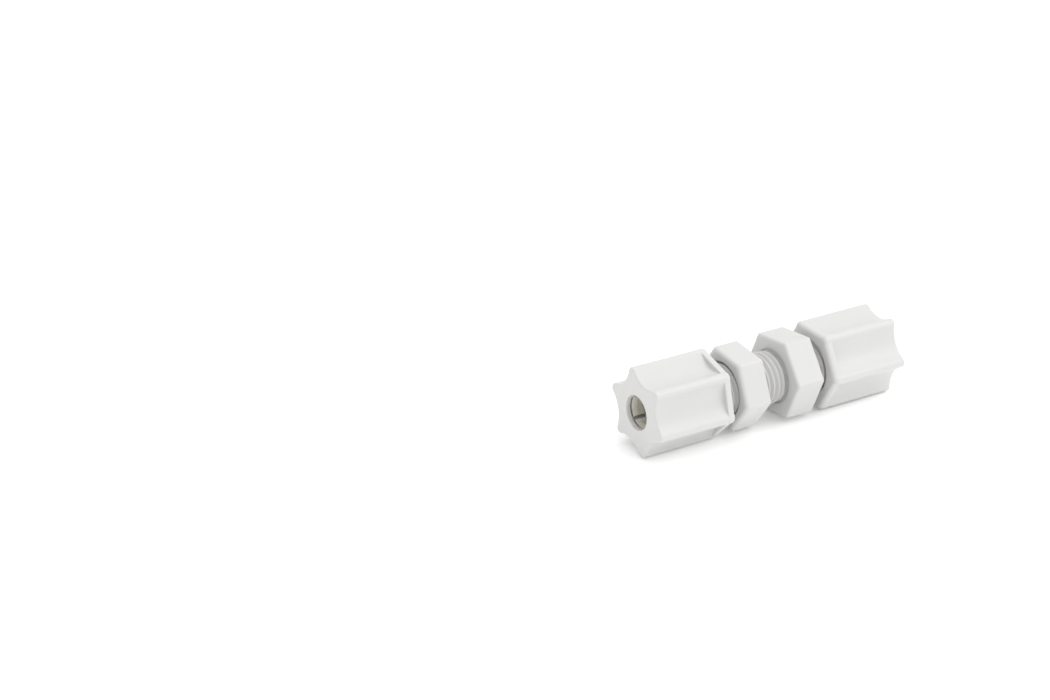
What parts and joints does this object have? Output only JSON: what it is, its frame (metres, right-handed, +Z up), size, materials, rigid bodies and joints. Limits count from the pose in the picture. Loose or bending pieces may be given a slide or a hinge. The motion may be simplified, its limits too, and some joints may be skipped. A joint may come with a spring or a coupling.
{
  "type": "bulkhead compression union for plastic tube",
  "caption": "Straight bulkhead tube coupling: threaded hex body with a panel nut and a fluted compression nut, gripper, spacer and sealing sleeve at each end.",
  "frame": {"origin": "centre of the bounding box, on the tube axis half way along the fitting", "axes": "+X along the tube axis towards the end by the hex flange, +Z up"},
  "size_m": [0.0611, 0.0188, 0.0182],
  "materials": {
    "body_plastic": "satin natural polypropylene",
    "nut_plastic": "satin natural polypropylene",
    "gripper_plastic": "hard satin acetal",
    "spacer_plastic": "hard satin acetal",
    "sleeve_plastic": "soft waxy polyethylene"
  },
  "bodies": {
    "panel_nut": {"panel_nut": "nut_plastic"},
    "left_seal": {"left_sleeve": "sleeve_plastic"},
    "union_body": {"union_body": "body_plastic", "right_sleeve": "sleeve_plastic"},
    "left_grip": {"left_gripper": "gripper_plastic", "left_spacer": "spacer_plastic"},
    "left_nut": {"left_compression_nut": "nut_plastic"},
    "right_grip": {"right_gripper": "gripper_plastic", "right_spacer": "spacer_plastic"},
    "right_nut": {"right_compression_nut": "nut_plastic"}
  },
  "joints": [
    {"name": "body_advance", "type": "slide", "parent": "panel_nut", "child": "left_seal", "axis": [1, 0, 0], "range_m": [-0.0061, 0.00241]},
    {"name": "body_turn", "type": "hinge", "parent": "left_seal", "child": "union_body", "pos_m": [0, 0, 0], "axis": [1, 0, 0], "range_deg": [-1729, 685]},
    {"name": "left_nut_advance", "type": "slide", "parent": "union_body", "child": "left_grip", "axis": [-1, 0, 0], "range_m": [0, 0.00762]},
    {"name": "left_nut_turn", "type": "hinge", "parent": "left_grip", "child": "left_nut", "pos_m": [0, 0, 0], "axis": [-1, 0, 0], "range_deg": [-1, 2161]},
    {"name": "right_nut_advance", "type": "slide", "parent": "union_body", "child": "right_grip", "axis": [1, 0, 0], "range_m": [0, 0.00762]},
    {"name": "right_nut_turn", "type": "hinge", "parent": "right_grip", "child": "right_nut", "pos_m": [0, 0, 0], "axis": [1, 0, 0], "range_deg": [-1, 2161]}
  ],
  "couplings": [
    {"joint": "body_turn", "follows": "body_advance", "rad_per_m": 4947.4},
    {"joint": "left_nut_turn", "follows": "left_nut_advance", "rad_per_m": 4947.4},
    {"joint": "right_nut_turn", "follows": "right_nut_advance", "rad_per_m": 4947.4}
  ]
}
